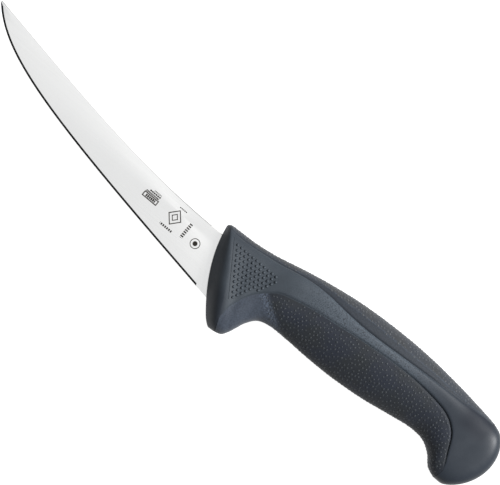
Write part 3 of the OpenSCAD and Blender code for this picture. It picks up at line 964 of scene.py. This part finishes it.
def steel_material(look):
    """Satin steel with fine lengthwise streaks, etched marks on one side, and a painted reflection: its
    sharpened edge painted dark.
    """
    material, graph, shader = new_material("satin_steel", Specular_IOR_Level=0.1, Anisotropic=0.3)
    where = knife_place(graph)
    x, y, z = graph.split(where)
    streaks = graph.noise(graph.vector("MULTIPLY", where, (0.02, 6.0, 1.0)), 1.0, 4.0, 0.65)
    clouds = graph.noise(where, 0.04, 2.0, 0.5)
    scuffs = graph.noise(graph.vector("MULTIPLY", where, (0.35, 3.0, 1.0)), 1.0, 3.0, 0.7)
    scuffs = scuffs.soft_step(0.62, 0.8)
    marks = etched_marks(graph, x, y) * (z > 0.5)
    # Painted reflection: the sharpened edge, and partly the spine's broken corner, are painted dark.
    honed = attribute(graph, "honed")
    tone = 0.93 + streaks * 0.09 + clouds * 0.05
    base = graph.mix(honed, graph.scaled(tuple(look.steel), tone), tuple(look.honed))
    base = graph.mix(marks, base, MARK_COLOUR)
    graph.plug(base, shader.inputs["Base Color"])
    graph.plug(0.24 + streaks * 0.1 + scuffs * 0.08 + marks * 0.3, shader.inputs["Roughness"])
    graph.plug(1 - marks, shader.inputs["Metallic"])
    graph.plug(bump(graph, streaks + marks * -2.0, 0.000004), shader.inputs["Normal"])
    return material


def grain(graph, where, size):
    """Fine moulded grain, about size millimetres across."""
    return graph.add("ShaderNodeTexVoronoi", {"feature": "SMOOTH_F1"},
                     {"Vector": where, "Scale": 1 / size, "Smoothness": 0.6})


def core_material(look):
    """Hard moulded plastic: fine stipple on the side band, smoother at the guard and the butt. Painted shade
    darkens the butt, a ridge by it, the guard's foot and top and a fine groove; the pip tops have a painted
    highlight.
    """
    material, graph, shader = new_material("moulded_core", Specular_IOR_Level=0.22)
    where = knife_place(graph)
    x, y = graph.split(where)[:2]
    stipple = grain(graph, where, 0.42)
    across = (x - GROOVE_POINT[0]) * GROOVE_WAY[0] + (y - GROOVE_POINT[1]) * GROOVE_WAY[1]
    groove = line_mask(across, GROOVE_WIDTH) * (abs(y - GROOVE_MIDDLE) < GROOVE_HALF)
    mottle = graph.noise(where, 0.3, 3.0, 0.6)
    grainy = x.soft_step(*GRAIN_IN) * (1 - x.soft_step(*GRAIN_OUT)) * attribute(graph, "band")
    pips = attribute(graph, "raised")
    # Painted highlight: the pip tops are painted a little lighter.
    light = (mottle - 0.5) * 0.14 + grainy * ((0.42 - stipple) * 1.1 + 0.30) + pips * 0.06
    base = graph.mix((light + 0.25).low(1.0).high(0.0), tuple(v * 0.5 for v in look.core),
                     tuple(v * 2.5 for v in look.core))
    smooth_shaded_butt = x.soft_step(*BUTT_SMOOTH)
    guard_foot = (1 - (x + y * FOOT_SLANT).soft_step(*FOOT_END)) * (1 - y.soft_step(*FOOT_START))
    guard_top = y.soft_step(*TOP_START) * (1 - x.soft_step(*TOP_END))
    butt_ridge = x.soft_step(*RIDGE_IN) * (1 - x.soft_step(*RIDGE_OUT)) * y.soft_step(*RIDGE_START)
    # Painted shade: the butt, its ridge, the groove and the guard's foot and top are darkened towards the
    # painted shade colour.
    dark = (smooth_shaded_butt * 0.56 + butt_ridge * 0.34).high(groove * 0.45)
    dark = dark.high(guard_foot * 0.6).high(guard_top * 0.22)
    graph.plug(graph.mix(dark, base, CORE_PAINTED_SHADE), shader.inputs["Base Color"])
    graph.plug(0.54 - smooth_shaded_butt * 0.08 + butt_ridge * 0.18 + (mottle - 0.5) * 0.12 + grainy * 0.06,
               shader.inputs["Roughness"])
    height = stipple * (0.25 + grainy * 0.75) * (1 - smooth_shaded_butt * 0.4) + mottle * 0.5 - groove * 2.0
    graph.plug(bump(graph, height, 0.00005, 0.9), shader.inputs["Normal"])
    return material


def grip_material(name, colour, tints, top_highlight, bare, bare_where):
    """Soft rubber: uneven in tint, mottled where it is left bare, with painted highlights on top of the
    pebbles and a painted light band where they fade out.
    """
    material, graph, shader = new_material(name, Specular_IOR_Level=0.2, Sheen_Weight=0.06,
                                           Sheen_Roughness=0.5)
    where = knife_place(graph)
    fine = grain(graph, where, 0.30)
    speckle = graph.noise(where, 1.5, 2.0, 0.6).soft_step(0.3, 0.7)
    mottle = graph.noise(where, 0.22, 3.0, 0.6)
    patches = graph.noise(where, 0.09, 2.0, 0.5).soft_step(0.35, 0.65)
    raised = attribute(graph, "raised")
    plain = bare_where(graph, where)
    tinted = graph.mix(patches, *(tuple(v * t for v, t in zip(colour, tint)) for tint in tints))
    worn = (mottle * 0.6 + fine * 0.4).soft_step(0.2, 0.8)
    ground = graph.mix(worn * 0.5, tinted, tuple(v * 1.6 for v in colour))
    smooth_zone = graph.mix(speckle * 0.7 + mottle * 0.3, tuple(v * 0.72 for v in bare),
                            tuple(v * 1.3 for v in bare))
    ground = graph.mix(plain, ground, smooth_zone)
    # Painted light: a lighter, speckled band where the pebbles fade out, as where the hollow by the guard
    # faces the key.
    ground = graph.mix(plain * (1 - plain) * speckle * 3.0, ground, tuple(v * 2.5 for v in bare))
    # Painted highlight: the pebble tops are painted lighter.
    graph.plug(graph.mix((raised ** 1.5) * 0.5, ground, top_highlight), shader.inputs["Base Color"])
    graph.plug(0.62 - raised * 0.14 + (mottle - 0.5) * 0.12, shader.inputs["Roughness"])
    graph.plug(bump(graph, fine * 0.7 + speckle * 0.5, 0.00004, 0.8), shader.inputs["Normal"])
    return material


# ---- Operators ----
class KNIFE_OT_blade(bpy.types.Operator):
    """Make the blade with its ground flats, sharpened edge and tang"""

    bl_idname = "knife.blade"
    bl_label = "Blade"

    def execute(self, context):
        blade = Blade(context.scene.knife_blade)
        rings = np.array(blade.rings())
        piece = add_object("boning_blade", ring_mesh("boning_blade", rings, 0.0))
        tang = blade.tang()
        cut_or_join(piece, "UNION", tang)
        bpy.data.objects.remove(tang)
        mark_honed(piece.data, blade)
        shade(piece.data, radians(6))
        piece.data.materials.clear()
        piece.data.materials.append(steel_material(context.scene.knife_look))
        finished(piece, "blade")
        return {"FINISHED"}


def mark_honed(mesh, blade):
    """Stores on each face corner whether the face is part of the sharpened edge, which is painted dark as a
    painted reflection. The spine's broken corner gets part of that painted dark.
    """
    u = np.linspace(0, 1, 1200)
    edge, spine = blade.edge(u), blade.spine(u)
    width = np.minimum(blade.made.honed_width, MOST_HONED * np.linalg.norm(spine - edge, axis=1))
    values = np.zeros(len(mesh.loops), np.float32)
    for face in mesh.polygons:
        centre = np.array(face.center[:2]) / MM - (TIP_X, SHIFT_Y)
        away = np.linalg.norm(edge - centre, axis=1)
        near = away.argmin()
        value = 1.0 if away[near] < HONED_REACH * width[near] and centre[0] < blade.heel[0] else 0.0
        if np.linalg.norm(spine - centre, axis=1).min() < SPINE_BREAK:
            value = SPINE_SHADE
        values[face.loop_start:face.loop_start + face.loop_total] = value
    mesh.attributes.new("honed", "FLOAT", "CORNER").data.foreach_set("value", values)


class KNIFE_OT_core(bpy.types.Operator):
    """Make the hard core with its side bands, and the pips on its two guard panels"""

    bl_idname = "knife.core"
    bl_label = "Handle core"

    def execute(self, context):
        scene = context.scene
        handle = Handle(scene.knife_handle)
        start = scene.knife_blade.reach
        lines = np.where(handle.on_band[:, None], handle.outer, handle.inner)
        front = [cap(0, handle.t[0], a) for a in np.linspace(FRONT_LIP, pi / 2, CAP_RINGS)]
        butt = [cap(LAST, handle.t[-1], a) for a in np.linspace(pi / 2, BUTT_LIP, CAP_RINGS)]
        lines = np.concatenate([front, lines, butt])
        rings = np.concatenate([lines, mirrored(lines)[:, ::-1]], 1)
        on_panel = (handle.on_band & (handle.to_belly > PANEL_MARGIN) & (handle.to_spine > PANEL_MARGIN)
                    & (handle.plain[..., 0] < PANEL_END))
        caps = np.zeros((CAP_RINGS, handle.t.shape[1]))
        tables = {"panel": on_panel * 1.0, "band": handle.on_band * np.ones(handle.t.shape)}
        tables = {key: np.concatenate([caps, v, caps]) for key, v in tables.items()}
        tables = {key: np.concatenate([v, v[:, ::-1]], 1) for key, v in tables.items()}
        piece = add_object("handle_core_body", ring_mesh("handle_core_body", rings, start, tables))
        # The finished blade cuts its own pocket, so the blade is made first.
        cut_or_join(piece, "DIFFERENCE", bpy.data.objects["boning_blade"])
        shade(piece.data, radians(38))
        texture = scene.knife_texture
        corner = place(np.array([[*PIP_CORNER, 0.0]]), start)[0]
        run_tree(piece, pip_tree(), {
            "Columns": PIP_COLUMNS, "Rows": PIP_ROWS, "Corner": corner.tolist(), "Pitch": texture.pip_pitch,
            "Slant": texture.pip_slant, "Row Gap": texture.pip_rows_gap, "Radius": texture.pip_radius,
            "Height": texture.pip_height, "Material": core_material(scene.knife_look)})
        finished(piece, "handle_core")
        return {"FINISHED"}


def add_grip(context, name, columns, order, pebbled, material, node):
    """A soft grip: its outer face, its inner face, and pebbles where the pebbled table says."""
    scene = context.scene
    handle = Handle(scene.knife_handle)
    out, inner = handle.outer[:, columns(handle)], handle.inner[:, columns(handle)]
    out, inner = (np.concatenate(order(p, mirrored(p)), 1) for p in (out, inner))
    share = pebbled(handle)[:, columns(handle)]
    share = np.concatenate(order(share, share), 1)
    rings = np.concatenate([out, inner[:, ::-1]], 1)
    tables = {"pebbled": np.concatenate([share, share * 0], 1)}
    piece = add_object(name, ring_mesh(name, rings, scene.knife_blade.reach, tables))
    shade(piece.data, radians(50))
    texture = scene.knife_texture
    run_tree(piece, pebble_tree(), {
        "Gap": texture.pebble_gap, "Radius": texture.pebble_radius, "Height": texture.pebble_height,
        "Seed": texture.seed, "Material": material})
    finished(piece, node)


class KNIFE_OT_belly_grip(bpy.types.Operator):
    """Make the soft grip round the handle's belly, with its scattered pebbles"""

    bl_idname = "knife.belly_grip"
    bl_label = "Belly grip"

    def execute(self, context):
        start, look = context.scene.knife_blade.reach, context.scene.knife_look

        def share(handle):
            """How pebbled each point of the handle is, from 0 to 1."""
            x, y = handle.plain[..., 0], handle.plain[..., 1]
            return (smooth(*GUARD_BARE, x + GUARD_FADE * y) * smooth(*BELLY_START, handle.to_belly)
                    * smooth(*END_START, handle.to_end))

        def by_guard(graph, where):
            """1 where the grip is bare by the guard, 0 where it has pebbles."""
            x, y = graph.split(where)[:2]
            return 1 - (x + y * GUARD_FADE).soft_step(start + GUARD_BARE[0], start + GUARD_BARE[1])

        # The belly colour is darker, a painted shade for the side turned from the key. The third colour is a
        # painted highlight for the pebble tops, the fourth the bare colour by the guard, painted lighter as
        # painted light.
        material = grip_material("belly_rubber", tuple(look.belly), ((1.0, 1.0, 0.86), (0.92, 1.0, 1.22)),
                                 (0.034, 0.038, 0.042), (0.029, 0.036, 0.049), by_guard)
        add_grip(context, "belly_grip_body", lambda h: h.on_belly, lambda p, m: (m[:, ::-1], p),
                 share, material, "belly_grip")
        return {"FINISHED"}


class KNIFE_OT_spine_grip(bpy.types.Operator):
    """Make the soft grip along the handle's back, with its scattered pebbles"""

    bl_idname = "knife.spine_grip"
    bl_label = "Back grip"

    def execute(self, context):
        def share(handle):
            """How pebbled each point of the handle is, from 0 to 1."""
            clear = eased(SPINE_CLEAR, handle.s)[:, None]
            return smooth(clear, clear + SPINE_START, handle.to_spine) * smooth(*END_START, handle.to_end)

        look = context.scene.knife_look
        # The third colour is a painted highlight for the pebble tops.
        material = grip_material("spine_rubber", tuple(look.spine), ((1.05, 1.0, 0.92), (0.94, 1.0, 1.12)),
                                 (0.058, 0.062, 0.067), (0.0145, 0.0182, 0.0240),
                                 lambda graph, where: 1 - attribute(graph, "pebbled"))
        add_grip(context, "spine_grip_body", lambda h: h.on_back, lambda p, m: (p, m[:, ::-1]),
                 share, material, "spine_grip")
        return {"FINISHED"}


def add_panel_light(name, size, power, spot, target):
    """A soft square light aimed at a point."""
    light = bpy.data.lights.new(name, "AREA")
    light.shape, light.size, light.size_y, light.energy = "RECTANGLE", size, size, power
    lamp = bpy.data.objects.new(name, light)
    lamp.location = spot
    lamp.rotation_euler = (target - spot).to_track_quat("-Z", "Y").to_euler()
    bpy.context.scene.collection.objects.link(lamp)


def light_in(graph, look):
    """Surroundings that are dim as a light, and paler where they show or are mirrored."""
    background = graph.tree.nodes["Background"]
    seen, mirrored_in = graph.add("ShaderNodeLightPath", out=0), graph.add("ShaderNodeLightPath", out=3)
    graph.plug(SKY_COLOUR, background.inputs["Color"])
    graph.plug((seen + mirrored_in * look.mirrored).high(look.ambient), background.inputs["Strength"])


class KNIFE_OT_stage(bpy.types.Operator):
    """Make the pale floor, the studio lights and the camera"""

    bl_idname = "knife.stage"
    bl_label = "Stage"

    def execute(self, context):
        scene, look = context.scene, context.scene.knife_look
        bpy.ops.mesh.primitive_plane_add(size=FLOOR_SIZE, location=(0, 0, -FLOOR_GAP))
        floor = context.object
        floor.name = "studio_floor"
        material, graph, shader = new_material("studio_floor", Roughness=0.9)
        shader.inputs["Base Color"].default_value = FLOOR_COLOUR
        shader.inputs["Emission Color"].default_value = (1, 1, 1, 1)
        shader.inputs["Emission Strength"].default_value = look.floor_glow
        one_way = graph.node("ShaderNodeMixShader", inputs={0: graph.add("ShaderNodeNewGeometry", out=6)})
        graph.tree.links.new(shader.outputs[0], one_way.inputs[1])
        graph.tree.links.new(graph.node("ShaderNodeBsdfTransparent").outputs[0], one_way.inputs[2])
        graph.tree.links.new(one_way.outputs[0], graph.tree.nodes["Material Output"].inputs[0])
        floor.data.materials.append(material)
        world = bpy.data.worlds.new("studio")
        world.use_nodes = True
        light_in(Graph(world.node_tree), look)
        scene.world = world
        middle = Vector(CAMERA_AIM)
        above = middle + Vector((0, 0, OVERHEAD_HEIGHT))
        add_panel_light("overhead", OVERHEAD_SIZE, look.top_light, above, middle)
        key = Vector((cos(KEY_TURN) * cos(KEY_RISE), sin(KEY_TURN) * cos(KEY_RISE), sin(KEY_RISE)))
        add_panel_light("key", KEY_SIZE, look.side_light, middle + key * KEY_DISTANCE, middle)
        camera = bpy.data.objects.new("camera", bpy.data.cameras.new("camera"))
        camera.data.lens, camera.data.sensor_width = CAMERA_LENS, CAMERA_SENSOR
        camera.location = middle + Vector((0, 0, CAMERA_HEIGHT))
        camera.rotation_euler = (0, 0, CAMERA_TURN)
        scene.collection.objects.link(camera)
        scene.camera = camera
        scene.view_settings.view_transform = "Standard"
        return {"FINISHED"}


class KNIFE_PT_panel(bpy.types.Panel):
    """Sidebar panel with the knife's pieces"""

    bl_label = "Boning knife"
    bl_idname = "KNIFE_PT_panel"
    bl_space_type = "VIEW_3D"
    bl_region_type = "UI"
    bl_category = "Knife"

    def draw(self, context):
        layout = self.layout
        for name, settings in SETTINGS.items():
            box = layout.box()
            box.label(text=settings.bl_rna.description or name)
            for key in settings.__annotations__:
                box.prop(getattr(context.scene, name), key)
        for operator in STEPS:
            layout.operator(operator.bl_idname)


SETTINGS = {
    "knife_blade": KnifeBladeSettings,
    "knife_handle": KnifeHandleSettings,
    "knife_texture": KnifeTextureSettings,
    "knife_look": KnifeLookSettings,
}
STEPS = (KNIFE_OT_blade, KNIFE_OT_core, KNIFE_OT_belly_grip, KNIFE_OT_spine_grip, KNIFE_OT_stage)


def register():
    for made in (*SETTINGS.values(), *STEPS, KNIFE_PT_panel):
        bpy.utils.register_class(made)
    for name, settings in SETTINGS.items():
        setattr(bpy.types.Scene, name, PointerProperty(type=settings))


def unregister():
    for name in SETTINGS:
        delattr(bpy.types.Scene, name)
    for made in reversed((*SETTINGS.values(), *STEPS, KNIFE_PT_panel)):
        bpy.utils.unregister_class(made)


def main():
    register()
    bpy.ops.knife.blade()
    bpy.ops.knife.core()
    bpy.ops.knife.belly_grip()
    bpy.ops.knife.spine_grip()
    bpy.ops.knife.stage()


if __name__ == "__main__":
    main()
